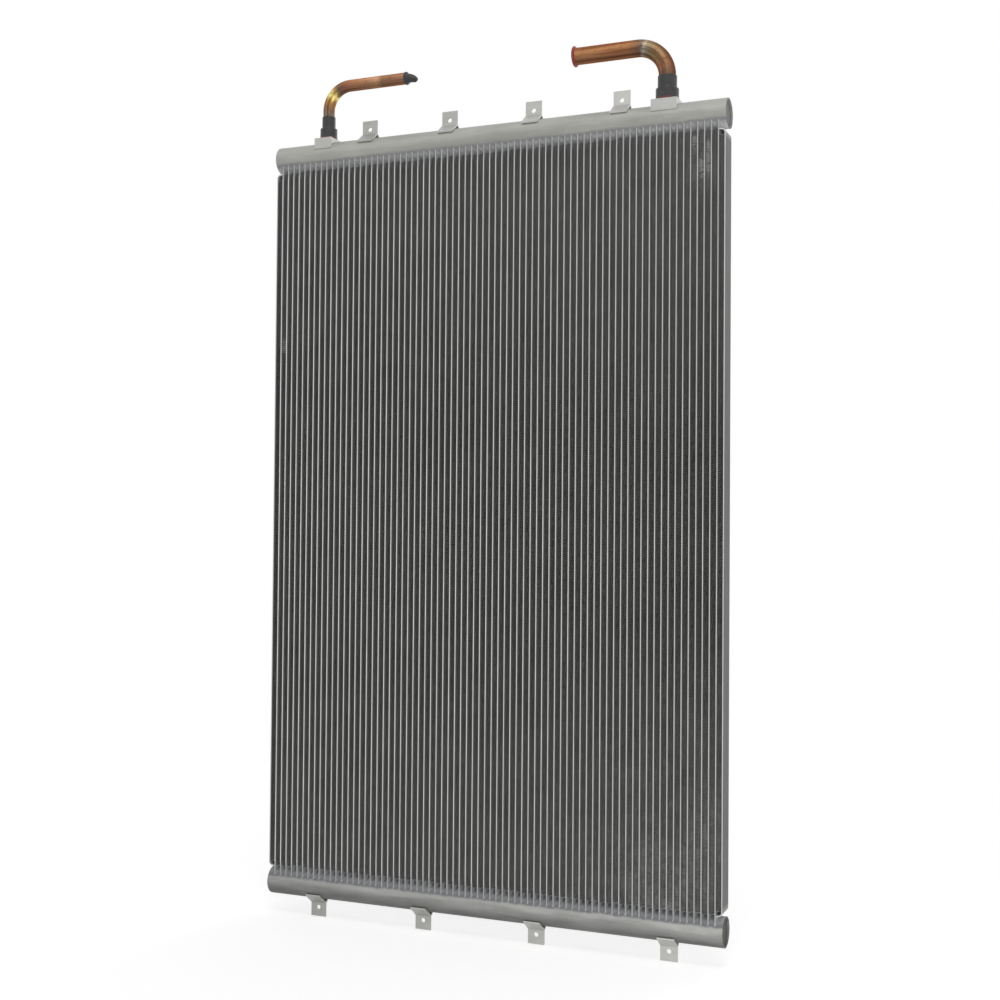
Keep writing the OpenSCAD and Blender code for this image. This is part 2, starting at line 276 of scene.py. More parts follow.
class Shader(Graph):
    """Node tree of one material, with the piece's own coordinates."""

    def __init__(self, name: str) -> None:
        """Starts an empty material.

        Args:
            name: Name of the material.
        """
        self.material = bpy.data.materials.new(name)
        self.material.use_nodes = True
        super().__init__(self.material.node_tree)
        self.place = self.node("ShaderNodeTexCoord").outputs["Object"]
        self.x, self.y, self.z = self.parts(self.place)

    def noise(self, pattern: Pattern, vector: Optional[NodeSocket] = None) -> Num:
        """Adds a noise.

        Args:
            pattern: Its settings.
            vector: Coordinates, where they aren't the piece's own.

        Returns:
            The noise, about 0.5 on average.
        """
        inputs = {"Vector": vector or self.place, "Scale": pattern.scale}
        inputs.update({"Detail": pattern.detail, "Roughness": pattern.rough})
        return Num(self, self.node("ShaderNodeTexNoise", None, inputs).outputs["Fac"])

    def stretched(self, scales: Sequence[float]) -> NodeSocket:
        """Own coordinates times a factor for each axis."""
        inputs = {0: self.place, 1: tuple(scales)}
        return self.out("ShaderNodeVectorMath", {"operation": "MULTIPLY"}, inputs)

    def grained(self, pattern: Pattern, grain: Axis, across: float, along: float) -> Num:
        """Adds a noise with its features in a metre across a grain and along it."""
        return self.noise(pattern, self.stretched([along if a is grain else across for a in Axis]))

    def mix(self, factor: Operand, first: Any, second: Any) -> NodeSocket:
        """Mixes two colours or sockets, where the factor is the second one's share."""
        inputs = {0: factor, 6: self._opaque(first), 7: self._opaque(second)}
        return self.node("ShaderNodeMix", {"data_type": "RGBA"}, inputs).outputs[2]

    @staticmethod
    def _opaque(colour: Any) -> Any:
        """Gives a plain colour its fourth number."""
        return (*colour, 1.0) if isinstance(colour, tuple) else colour

    def scaled(self, colour: Any, factor: Operand) -> NodeSocket:
        """Multiplies a colour by a number."""
        inputs = {0: colour, "Scale": factor}
        return self.out("ShaderNodeVectorMath", {"operation": "SCALE"}, inputs)

    def ramp(self, value: Operand, stops: Sequence[Stop]) -> NodeSocket:
        """Looks up a colour along a row of stops."""
        return self.out("ShaderNodeValToRGB", {"stops": stops}, {0: value})

    def bump(self, height: Operand, depth: float, strength: float) -> NodeSocket:
        """Turns a height from 0 to 1 into a normal, with the relief's depth in metres."""
        inputs = {"Strength": strength, "Distance": depth, "Height": height}
        return self.out("ShaderNodeBump", None, inputs)

    def surface(self, inputs: dict[str, Any]) -> Material:
        """Ends the tree in a Principled shader.

        Args:
            inputs: Values for the shader's sockets.

        Returns:
            The finished material.
        """
        shader = self.out("ShaderNodeBsdfPrincipled", None, inputs)
        self.node("ShaderNodeOutputMaterial", None, {"Surface": shader})
        return self.material


class Maker(Graph):
    """Geometry Nodes tree with named inputs, which is run to make plain meshes."""

    def __init__(self, name: str, counts: Sequence[str], lengths: Sequence[str]) -> None:
        """Starts the tree.

        Args:
            name: Name of the tree.
            counts: Names of the inputs that are whole numbers.
            lengths: Names of the inputs that are lengths or factors.
        """
        super().__init__(bpy.data.node_groups.new(name, "GeometryNodeTree"))
        face = self.tree.interface
        face.new_socket("Geometry", in_out="INPUT", socket_type="NodeSocketGeometry")
        face.new_socket("Geometry", in_out="OUTPUT", socket_type="NodeSocketGeometry")
        kinds = {label: "NodeSocketInt" for label in counts}
        kinds.update({label: "NodeSocketFloat" for label in lengths})
        kinds["Material"] = "NodeSocketMaterial"
        self.keys = {
            label: face.new_socket(label, in_out="INPUT", socket_type=kind).identifier
            for label, kind in kinds.items()
        }
        self.entry = self.node("NodeGroupInput")

    def given(self, label: str) -> Num:
        """The number that is set for a named input."""
        return Num(self, self.entry.outputs[label])

    def make(self, kind: str, inputs: Inputs = None) -> NodeSocket:
        """Adds a geometry node and gives its first output."""
        return self.out("GeometryNode" + kind, None, inputs)

    def repeat(self, shape: NodeSocket, count: str, first: Sequence[str], shift: Any = None) -> None:
        """Ends the tree: copies a shape a pitch apart along X, realised and with its material.

        Args:
            shape: Mesh that is repeated.
            count: Input that says how many copies there are.
            first: Inputs that place the first copy along X, Y and Z.
            shift: Extra move of each copy.
        """
        row = {"Count": self.given(count)}
        row["Start Location"] = self.vector(*(self.given(label) for label in first))
        row["Offset"] = self.vector(self.given("Pitch"), 0.0, 0.0)
        points = self.make("MeshLine", row)
        copies = {"Points": points, "Instance": shape}
        placed = self.make("InstanceOnPoints", copies)
        if shift is not None:
            move = {"Instances": placed, "Translation": shift, "Local Space": False}
            placed = self.make("TranslateInstances", move)
        real = self.make("RealizeInstances", {"Geometry": placed})
        paint = {"Geometry": real, "Material": self.entry.outputs["Material"]}
        painted = self.make("SetMaterial", paint)
        self.node("NodeGroupOutput", None, {0: painted})

    def run(self, name: str, values: dict[str, Any]) -> Object:
        """Makes a plain mesh object.

        Args:
            name: Name of the piece.
            values: Value for each named input.

        Returns:
            The piece, linked to the scene.
        """
        holder = new_object(f"{name}_maker", bpy.data.meshes.new(f"{name}_maker"))
        step = holder.modifiers.new("maker", "NODES")
        step.node_group = self.tree
        for label, value in values.items():
            step[self.keys[label]] = value
        evaluated = holder.evaluated_get(bpy.context.evaluated_depsgraph_get())
        mesh = bpy.data.meshes.new_from_object(evaluated)
        holder.modifiers.remove(step)
        bpy.data.objects.remove(holder)
        mesh.name = name
        return new_object(name, mesh)


def new_object(name: str, data: bpy.types.ID) -> Object:
    """Links a new object to the scene.

    Args:
        name: Name of the object.
        data: Its mesh, light or camera.

    Returns:
        The object.
    """
    made = bpy.data.objects.new(name, data)
    bpy.context.scene.collection.objects.link(made)
    return made


def hand_over(piece: Object, slot: str, *nodes: str) -> None:
    """Joins a piece to the coil's one body.

    Args:
        piece: New piece.
        slot: Name of a material slot; not used.
        nodes: Nodes that the piece takes the place of.
    """
    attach(piece, BODY)
    if nodes:
        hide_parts(*nodes)
    log.info("%s: %d faces", piece.name, len(piece.data.polygons))


def paint(finish: Finish, *nodes: str) -> None:
    """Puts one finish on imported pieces.

    Args:
        finish: Finish that makes the material.
        nodes: Names of the pieces.
    """
    material = finish.material()
    for node in nodes:
        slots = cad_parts[node].data.materials
        slots.clear()
        slots.append(material)
        log.info("%s: %s", node, material.name)


def middle(node: str, axis: Axis) -> float:
    """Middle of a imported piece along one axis."""
    low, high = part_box(node)
    return (low[axis.value] + high[axis.value]) / 2


def half_y(node: str) -> float:
    """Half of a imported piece's depth, which is the radius of a round one."""
    low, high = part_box(node)
    return (high.y - low.y) / 2


@dataclass(frozen=True)
class JointHazeAndPaintedLight:
    """Flux hazing left by brazing where the tubes enter a header, with painted light that makes it
    palest far in between them, where shade falls.
    """

    axis_z: float
    facing: float
    outer: Colour
    inner: Colour
    start: float = 7.0 * MM
    end: float = 10.5 * MM
    deep: float = 17.5 * MM
    fray: float = 5.0 * MM

    def cover(self, shader: Shader, blotches: Num) -> tuple[Num, NodeSocket]:
        """Tells how much of the surface is hazed, and in what colour.

        Args:
            shader: Material's tree.
            blotches: Noise that frays the edge of the hazed, painted-light band.

        Returns:
            A number from 0 to 1, and the colour of the hazed, painted-light band.
        """
        torn = blotches.sway(0.5 * self.fray) + shader.noise(HAZE_EDGE).sway(self.fray)
        towards = (shader.z - self.axis_z) * self.facing + torn
        # Painted light: the colour pales from outer to inner further in between the tubes, where
        # shade falls
        colour = shader.mix(towards.fade(self.end, self.deep), self.outer, self.inner)
        return towards.fade(self.start, self.end), colour


@dataclass(frozen=True)
class HeaderShade:
    """Painted light and shade on a round header: lighter above, darker below."""

    axis_z: float
    radius: float
    above: float
    below: float

    def level(self, shader: Shader, streaks: Num) -> Num:
        """Tells how bright the surface is.

        Args:
            shader: Material's tree.
            streaks: Noise that frays the change along the header.

        Returns:
            A factor for the colour.
        """
        height = (shader.z - self.axis_z) * (1.0 / self.radius) + streaks.sway(0.9)
        # Painted shade: the colour darkens towards the underside and lightens towards the top
        rise = height.fade(-1.0, 0.05) * 0.6 + height.fade(-0.1, 0.3) * 0.4
        return self.below + rise * (self.above - self.below)


@dataclass(frozen=True)
class EndTone:
    """Both ends of a piece along one axis, in a colour of their own."""

    node: str
    axis: Axis
    colour: Colour
    depth: float = 0.2 * MM

    def cover(self, shader: Shader) -> Num:
        """Tells the ends from the rest.

        Args:
            shader: Material's tree.

        Returns:
            A number that is 1 at the ends and 0 between them.
        """
        low, high = (corner[self.axis.value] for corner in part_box(self.node))
        across = ((shader.x, shader.y, shader.z)[self.axis.value] - (low + high) / 2).size()
        start = (high - low) / 2 - self.depth
        return across.fade(start - 0.5 * self.depth, start + 0.5 * self.depth)


@dataclass(frozen=True)
class MillAluminium:
    """Bare aluminium as drawn, rolled or extruded, dulled by the brazing furnace."""

    name: str
    colour: Colour
    grain: Axis
    roughness: float = 0.42
    metallic: float = 0.85
    gloss: float = 0.5
    blotch: float = 0.10
    streak: float = 0.10
    stain: float = 0.0
    stain_tone: Colour = (0.62, 0.62, 0.58)
    drift: float = 0.0
    shade: Optional[HeaderShade] = None
    haze_and_light: Optional[JointHazeAndPaintedLight] = None
    ends: tuple[EndTone, ...] = ()

    def material(self) -> Material:
        """Builds the material.

        Returns:
            The material.
        """
        shader = Shader(self.name)
        lines = shader.grained(GRAIN, self.grain, GRAIN_ACROSS, GRAIN_ALONG)
        smears = shader.grained(SMEARS, self.grain, SMEAR_ACROSS, SMEAR_ALONG)
        blotches = shader.noise(BLOTCHES)
        level = 1.0 + blotches.sway(2.0 * self.blotch) + lines.sway(2.0 * self.streak)
        level = level + smears.sway(3.0 * self.blotch)
        # Painted light: brighter towards the right, darker towards the left
        if self.drift > 0:
            level = level * (1.0 + shader.x * (self.drift / HALF_LENGTH))
        # Painted light and shade by height on a round header
        if self.shade is not None:
            level = level * self.shade.level(shader, smears)
        base = shader.scaled(self.colour, level)
        rough = self.roughness + blotches.sway(0.25)
        metal: Operand = self.metallic
        if self.stain > 0:
            residue = shader.noise(RESIDUE).fade(0.60, 0.74)
            base = shader.mix(residue * self.stain, base, self.stain_tone)
            rough = rough + residue * 0.12
        # Flux hazing, with painted light lifting the shaded gaps between the tubes
        if self.haze_and_light is not None:
            veil, tone = self.haze_and_light.cover(shader, blotches)
            base = shader.mix(veil, base, tone)
            metal = self.metallic * (1.0 - veil)
            rough = rough + veil * 0.3
        for end in self.ends:
            base = shader.mix(end.cover(shader), base, end.colour)
        return shader.surface(
            {
                "Base Color": base,
                "Metallic": metal,
                "Roughness": rough,
                "Specular IOR Level": self.gloss,
                "Normal": shader.bump(lines, 0.05 * MM, 0.6),
            }
        )


@dataclass(frozen=True)
class NosedTube:
    """Flat tube with a painted highlight on its round noses and darker sides, paler by a header from
    flux hazing and painted light.
    """

    name: str
    nose: Colour
    side: Colour
    end_nose: Colour
    end_side: Colour
    # Pale colour painted as light at the back of the shaded gaps by the headers
    end_deep: Colour
    nose_y: float
    low_z: float
    high_z: float
    nose_depth: float = 0.36 * MM
    end_reach: float = 23.0 * MM
    pale_from: float = 12.0 * MM
    drift: float = 0.24

    def material(self) -> Material:
        """Builds the material.

        Returns:
            The material.
        """
        shader = Shader(self.name)
        lines = shader.grained(GRAIN, Axis.Z, GRAIN_ACROSS, GRAIN_ALONG)
        blotches = shader.noise(TUBE_BLOTCHES)
        outward = shader.y.size()
        # Painted highlight: the nose crest is painted brighter than the tube's sides
        nose = outward.fade(self.nose_y - self.nose_depth, self.nose_y - 0.25 * self.nose_depth)
        # Flux hazing by the headers, with painted light growing paler towards the back of the shaded
        # gaps
        inward = (shader.z - self.low_z).at_most(self.high_z - shader.z)
        joined = inward.fade(1.4 * self.end_reach, self.end_reach)
        deep = outward.fade(self.nose_y, self.nose_y - self.pale_from)
        side = shader.mix(joined, self.side, shader.mix(deep, self.end_side, self.end_deep))
        # The painted nose highlight dims towards the right
        crest = shader.scaled(self.nose, 1.0 - shader.x * (self.drift / HALF_LENGTH))
        base = shader.mix(nose, side, shader.mix(joined, crest, self.end_nose))
        level = 1.0 + blotches.sway(0.35) + lines.sway(0.3)
        return shader.surface(
            {
                "Base Color": shader.scaled(base, level),
                "Metallic": 0.1 + nose * 0.5,
                "Roughness": 0.66 - nose * 0.22 + blotches.sway(0.2),
                "Normal": shader.bump(lines, 0.05 * MM, 0.6),
            }
        )


@dataclass(frozen=True)
class Scuff:
    """A patch of fin edges that was rubbed bright or bent."""

    x: float
    z: float
    wide: float
    high: float
    strength: float

    def cover(self, shader: Shader) -> Num:
        """Tells how strongly the fins are rubbed.

        Args:
            shader: Material's tree.

        Returns:
            The strength in the middle, fading to 0 at the patch's edge.
        """
        across = ((shader.x - self.x) * (1.0 / self.wide)) ** 2.0
        along = ((shader.z - self.z) * (1.0 / self.high)) ** 2.0
        return (across + along).fade(1.0, 0.15) * self.strength


@dataclass(frozen=True)
class FinFoil:
    """Thin folded foil, dull grey, with rubbed patches and specks on the front edges, painted lighter
    towards the right and painted darker at its foot.
    """

    name: str
    colour: Colour
    front_y: float
    foot_z: float
    scuffs: tuple[Scuff, ...]
    rubbed_tone: Colour = (0.90, 0.90, 0.87)
    edge_scales: tuple[float, float, float] = (190.0, 30.0, 330.0)
    edge_depth: Point = (10.0 * MM, 3.0 * MM)
    # Range along X over which the painted light rises
    painted_light_x: Point = (-0.25, 0.32)
    speck_x: Point = (0.0, 0.3)
    worn_x: Point = (-0.05, 0.3)
    worn_z: Point = (0.5, 0.05)
    roughness: float = 0.62
    metallic: float = 0.15
    # Strength of the painted light towards the right
    dust_and_light: float = 0.15
    # Height of the painted shade at the foil's foot
    foot: float = 4.0 * MM

    def material(self) -> Material:
        """Builds the material.

        Returns:
            The material.
        """
        shader = Shader(self.name)
        x, y, z = shader.x, shader.y, shader.z
        cloud = shader.noise(FIN_CLOUDS)
        fine = shader.noise(FIN_EDGES, shader.stretched(self.edge_scales))
        # Painted light: the foil is painted lighter towards the right
        painted_light = x.fade(*self.painted_light_x) * self.dust_and_light
        level = 1.0 + cloud.sway(0.5) + fine.sway(0.35) + painted_light
        base = shader.scaled(self.colour, level)
        rubbed: Operand = 0.0
        for mark in self.scuffs:
            rubbed = mark.cover(shader) + rubbed
        corner = x.fade(*self.worn_x) * z.fade(*self.worn_z) + x.fade(*self.speck_x) * 0.3
        patches = shader.noise(FIN_PATCHES).fade(0.47, 0.66)
        specks = (patches * 0.36 + fine.fade(0.58, 0.70) * 0.4) * corner
        edge = y.fade(*(self.front_y + depth for depth in self.edge_depth))
        bright = ((rubbed * fine.fade(0.38, 0.52)).at_most(1.0) + specks).at_most(1.0) * edge
        base = shader.mix(bright, base, self.rubbed_tone)
        # Painted shade: the foil darkens towards its lowest folds
        painted_foot_shade = z.fade(self.foot_z + self.foot, self.foot_z + 0.5 * self.foot)
        return shader.surface(
            {
                "Base Color": shader.scaled(base, 1.0 - 0.3 * painted_foot_shade),
                "Metallic": self.metallic,
                "Roughness": self.roughness + cloud.sway(0.3),
            }
        )


@dataclass(frozen=True)
class PipePath:
    """Middle line of a bent pipe: up along Z, round a bend, then along X."""

    leg_x: float
    run_z: float
    bend_r: float
    side: float

    @property
    def bend_length(self) -> float:
        """Length of the bend's middle line."""
        return self.bend_r * math.pi / 2


@dataclass(frozen=True)
class TintedCopperWithPaintedSheen:
    """Drawn copper with heat colours and painted highlights, told by the distance from the start of
    the bend, and with painted dark reflections.
    """

    name: str
    path: PipePath
    radius: float
    tints_and_highlights: tuple[Stop, ...]
    start: float
    end: float
    burn: float
    # Colour of the painted dark reflections, and of drawing streaks and tarnish
    dark: Colour = (0.085, 0.040, 0.026)
    # Colour of the painted highlight bands
    bright: Colour = (0.54, 0.30, 0.13)
    red: Colour = (0.20, 0.075, 0.04)
    edge: Colour = (0.68, 0.41, 0.33)

    def material(self) -> Material:
        """Builds the material.

        Returns:
            The material.
        """
        shader = Shader(self.name)
        path, radius, bend = self.path, self.radius, self.path.bend_length
        back = path.bend_r - (shader.x - path.leg_x) * path.side
        high = path.bend_r - (path.run_z - shader.z)
        angle = shader.math("ARCTAN2", high, back).at_least(0.0).at_most(math.pi / 2)
        run = high.at_most(0.0) + angle * path.bend_r + (-back).at_least(0.0)
        out = ((back.at_least(0.0) ** 2.0) + (high.at_least(0.0) ** 2.0)).root() - path.bend_r
        y, fine_scale, wide_scale = shader.y, DRAWN_ACROSS, BAND_ACROSS
        marks = shader.vector(run * DRAWN_ALONG, y * fine_scale, out * fine_scale)
        broad = shader.vector(run * BAND_ALONG, y * wide_scale, out * wide_scale)
        drawn, bands = shader.noise(GRAIN, marks), shader.noise(COPPER_BANDS, broad)
        cloud = shader.noise(COPPER_CLOUDS)
        fine = shader.noise(COPPER_SPECKS)
        place = (run + cloud.sway(16.0 * MM) - self.start) * (1.0 / (self.end - self.start))
        level = 1.05 + drawn.sway(1.8) + bands.sway(2.4) + fine.sway(0.4)
        base = shader.scaled(shader.ramp(place, self.tints_and_highlights), level)
        along = run.fade(0.35 * bend, 0.95 * bend)
        # Painted highlight: bright bands along the run
        base = shader.mix(bands.fade(0.50, 0.64) * along * 0.4, base, self.bright)
        burnt = shader.noise(COPPER_BURNS).fade(0.50, 0.62) * (1.0 - along)
        base = shader.mix(burnt * run.fade(0.0, 0.3 * bend) * self.burn, base, self.red)
        # Painted reflection: the run's underside and the outer side of the bend and leg are painted
        # dark
        under = out.fade(0.25 * radius, -0.85 * radius) * along
        outside = out.fade(0.35 * radius, 0.95 * radius) * (1.0 - along)
        streaks = drawn.fade(0.55, 0.68) * 0.6
        tarnish = cloud.fade(0.50, 0.68) * fine.fade(0.38, 0.60) * 0.65
        # Mix of real drawing streaks and tarnish with the painted dark reflections
        dull = (under * 0.6).at_least(outside * 0.6).at_least(streaks).at_least(tarnish)
        sooty = (1.0 - along) * (0.2 * self.burn)
        return shader.surface(
            {
                "Base Color": shader.mix(dull, base, self.dark),
                "Metallic": 0.88,
                "Roughness": 0.24 + drawn.sway(0.2) + dull * 0.2 + sooty,
                "Specular Tint": (*self.edge, 1.0),
                "Normal": shader.bump(drawn * 0.7 + fine * 0.3, 0.04 * MM, 0.4),
            }
        )


@dataclass(frozen=True)
class MouldedPolymer:
    """Moulded or shrunk plastic and rubber with a fine grain and a faint dusting."""

    name: str
    colour: Colour
    # Colour of the faint dust
    dust_and_light: Colour
    roughness: float
    grain: float = 700.0
    relief: float = 0.08 * MM

    def material(self) -> Material:
        """Builds the material.

        Returns:
            The material.
        """
        shader = Shader(self.name)
        cloud = shader.noise(POLYMER_CLOUDS)
        fine = shader.noise(Pattern(self.grain, 3.0))
        base = shader.scaled(self.colour, 1.0 + cloud.sway(0.5))
        worn = cloud.fade(0.50, 0.72) * fine.fade(0.40, 0.66)
        return shader.surface(
            {
                "Base Color": shader.mix(worn * 0.5, base, self.dust_and_light),
                "Roughness": self.roughness + cloud.sway(0.3),
                "Normal": shader.bump(fine * 0.6 + cloud * 0.4, self.relief, 0.7),
            }
        )


@dataclass(frozen=True)
class Turned:
    """A turned piece: a closed outline swept once around an axis."""

    name: str
    outline: tuple[Point, ...]
    origin: Vector
    axis: Axis
    direction: float = 1.0
    segments: int = 72
    crease: float = math.radians(50.0)

    def build(self, finish: Material, shape: Optional[Shape] = None) -> Object:
        """Makes the piece.

        Args:
            finish: Its material.
            shape: Gives the place of a point from its turn angle, radius and height, for a
                piece that isn't quite round.

        Returns:
            The piece.
        """
        mesh = bmesh.new()
        rings = [self._ring(mesh, radius, height, shape) for radius, height in self.outline]
        pairs = list(zip(rings, rings[1:]))
        if len(rings[0]) > 1:
            pairs.append((rings[-1], rings[0]))
        for low, high in pairs:
            self._skin(mesh, low, high)
        bmesh.ops.recalc_face_normals(mesh, faces=mesh.faces)
        data = bpy.data.meshes.new(self.name)
        mesh.to_mesh(data)
        mesh.free()
        data.transform(self._stand())
        data.shade_smooth()
        data.set_sharp_from_angle(angle=self.crease)
        data.materials.append(finish)
        return new_object(self.name, data)

    def _ring(
        self, mesh: bmesh.types.BMesh, radius: float, height: float, shape: Optional[Shape]
    ) -> list[bmesh.types.BMVert]:
        """Adds the points of one turn, or a single point on the axis.

        Args:
            mesh: Mesh that is being made.
            radius: Distance from the axis.
            height: Height along the axis.
            shape: Places the points where they aren't on a circle.

        Returns:
            The points.
        """
        ring = []
        for step in range(self.segments if radius > 0 else 1):
            turn = 2 * math.pi * step / self.segments
            spot = Vector((radius * math.cos(turn), radius * math.sin(turn), height))
            ring.append(mesh.verts.new(shape(turn, radius, height) if shape else spot))
        return ring

    @staticmethod
    def _skin(mesh: bmesh.types.BMesh, low: list, high: list) -> None:
        """Joins two neighbouring turns with faces.

        Args:
            mesh: Mesh that is being made.
            low: Points of one turn.
            high: Points of the next turn.
        """
        count = max(len(low), len(high))
        for step in range(count):
            after = (step + 1) % count
            corners = [low[step % len(low)], low[after % len(low)]]
            corners += [high[after % len(high)], high[step % len(high)]]
            mesh.faces.new(dict.fromkeys(corners))

    def _stand(self) -> Matrix:
        """Tells how the piece, made along Z, is placed on its axis.

        Returns:
            The move.
        """
        if self.axis is Axis.X:
            turn = Matrix(((0, 0, self.direction), (self.direction, 0, 0), (0, 1, 0))).to_4x4()
        else:
            turn = Matrix.Diagonal((1.0, self.direction, self.direction, 1.0))
        return Matrix.Translation(self.origin) @ turn


def round_corner(
    radius: float, height: float, fillet: float, start: float, end: float, steps: int = 5
) -> list[Point]:
    """Points of a rounded corner in an outline.

    Args:
        radius: Distance of the fillet's middle from the axis.
        height: Height of the fillet's middle.
        fillet: Radius of the rounding.
        start: First angle in degrees, where 0 points away from the axis.
        end: Last angle in degrees.
        steps: Number of points.

    Returns:
        The points as radius and height.
    """
    points = []
    for step in range(steps):
        turn = math.radians(start + (end - start) * step / (steps - 1))
        points.append((radius + fillet * math.cos(turn), height + fillet * math.sin(turn)))
    return points


@dataclass(frozen=True)
class FinPack:
    """The folded fin strips of one pass."""

    node: str
    fold_spacing: float = 1.4 * MM
    foil_edge: float = 0.55 * MM
    seat: float = 0.02 * MM
    most_strips: int = 36
    first_seed: int = 7

    def build(self, maker: Maker, finish: Material) -> None:
        """Makes the strips in pieces of a handy size and hands them over.

        Args:
            maker: Tree that folds the strips.
            finish: Foil material.
        """
        low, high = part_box(self.node)
        count = round((high.x - low.x - STRIP_WIDTH) / TUBE_PITCH) + 1
        pieces = math.ceil(count / self.most_strips)
        folds = int((high.z - low.z) / self.fold_spacing) - 1
        slack = (high.z - low.z - folds * self.fold_spacing) / 2
        first = 0
        for number in range(pieces):
            strips = math.ceil((count - first) / (pieces - number))
            values = {
                "Strips": strips,
                "Pitch": TUBE_PITCH,
                "Folds": folds,
                "Fold Spacing": self.fold_spacing,
                "Strip Width": STRIP_WIDTH - 2 * self.seat,
                "Foil Edge": self.foil_edge,
                "Depth": high.y - low.y,
                "Slack": slack,
                "First X": low.x + STRIP_WIDTH / 2 + first * TUBE_PITCH,
                "Middle Y": middle(self.node, Axis.Y),
                "Lowest Z": low.z + slack,
                "Seed": number + self.first_seed,
                "Material": finish,
            }
            piece = maker.run(f"{self.node}_folded_{number + 1}", values)
            hand_over(piece, "fin_aluminium", self.node)
            first += strips

    @staticmethod
    def maker() -> Maker:
        """Builds the tree that folds a strip and repeats it.

        Returns:
            The tree.
        """
        place = ("First X", "Middle Y", "Lowest Z")
        lengths = ("Pitch", "Fold Spacing", "Strip Width", "Foil Edge", "Depth", "Slack", *place)
        maker = Maker("folded_fin_strips", ("Strips", "Folds", "Seed"), lengths)
        give, make = maker.given, maker.make
        rise = maker.vector(0.0, 0.0, give("Fold Spacing"))
        line = make("MeshLine", {"Count": give("Folds") + 1.0, "Offset": rise})
        index = Num(maker, make("InputIndex"))
        reach = (give("Strip Width") - give("Foil Edge")) * 0.5
        side = maker.vector(((index % 2.0) * 2.0 - 1.0) * reach, 0.0, 0.0)
        zigzag = make("SetPosition", {"Geometry": line, "Offset": side})
        path = make("MeshToCurve", {"Mesh": zigzag})
        section = {"Width": give("Depth"), "Height": give("Foil Edge")}
        foil = make("CurvePrimitiveQuadrilateral", section)
        sweep = {"Curve": path, "Profile Curve": foil, "Fill Caps": True}
        strip = make("CurveToMesh", sweep)
        facets = {"Geometry": strip, "Shade Smooth": False}
        flat = make("SetShadeSmooth", facets)
        span = {0: maker.vector(0.0, 0.0, -give("Slack")), 1: maker.vector(0.0, 0.0, give("Slack"))}
        span["Seed"] = give("Seed")
        shift = maker.out("FunctionNodeRandomValue", {"data_type": "FLOAT_VECTOR"}, span)
        maker.repeat(flat, "Strips", place, shift)
        return maker


@dataclass(frozen=True)
class BrazeBeads:
    """Thin fillets of braze where the flat tubes enter a header."""

    header: str
    first_x: float
    count: int
    tube_depth: float
    facing: float
    bead: float = 0.45 * MM

    def build(self, maker: Maker, finish: Material) -> None:
        """Makes the beads of one header and hands them over.

        Args:
            maker: Tree that lays a bead on the round header and repeats it.
            finish: Braze material.
        """
        values = {
            "Count": self.count,
            "Pitch": TUBE_PITCH,
            "First X": self.first_x,
            "Axis Y": middle(self.header, Axis.Y),
            "Axis Z": middle(self.header, Axis.Z),
            "Header Radius": half_y(self.header),
            "Facing": self.facing,
            "Tube Thickness": TUBE_THICKNESS,
            "Tube Depth": self.tube_depth,
            "Bead": self.bead,
            "Material": finish,
        }
        hand_over(maker.run(f"{self.header}_braze", values), "tube_aluminium")

    @staticmethod
    def maker(points: int = 22, corners: int = 4) -> Maker:
        """Builds the tree that lays and repeats the beads.

        Args:
            points: Points along one bead.
            corners: Corners of a bead's section.

        Returns:
            The tree.
        """
        place = ("First X", "Axis Y", "Axis Z")
        lengths = ("Pitch", "Header Radius", "Facing", "Tube Thickness", "Tube Depth", "Bead", *place)
        maker = Maker("braze_beads", ("Count",), lengths)
        give, make = maker.given, maker.make
        tube = {"Width": give("Tube Thickness"), "Height": give("Tube Depth")}
        outline = make("CurvePrimitiveQuadrilateral", tube)
        loop = make("ResampleCurve", {"Curve": outline, "Count": points})
        x, y, _ = maker.parts(make("InputPosition"))
        lift = (give("Header Radius") ** 2.0 - y ** 2.0).root() * give("Facing")
        spot = {"Geometry": loop, "Position": maker.vector(x, y, lift)}
        laid = make("SetPosition", spot)
        ring = {"Resolution": corners, "Radius": give("Bead")}
        section = make("CurvePrimitiveCircle", ring)
        bead = make("CurveToMesh", {"Curve": laid, "Profile Curve": section})
        maker.repeat(bead, "Count", place)
        return maker


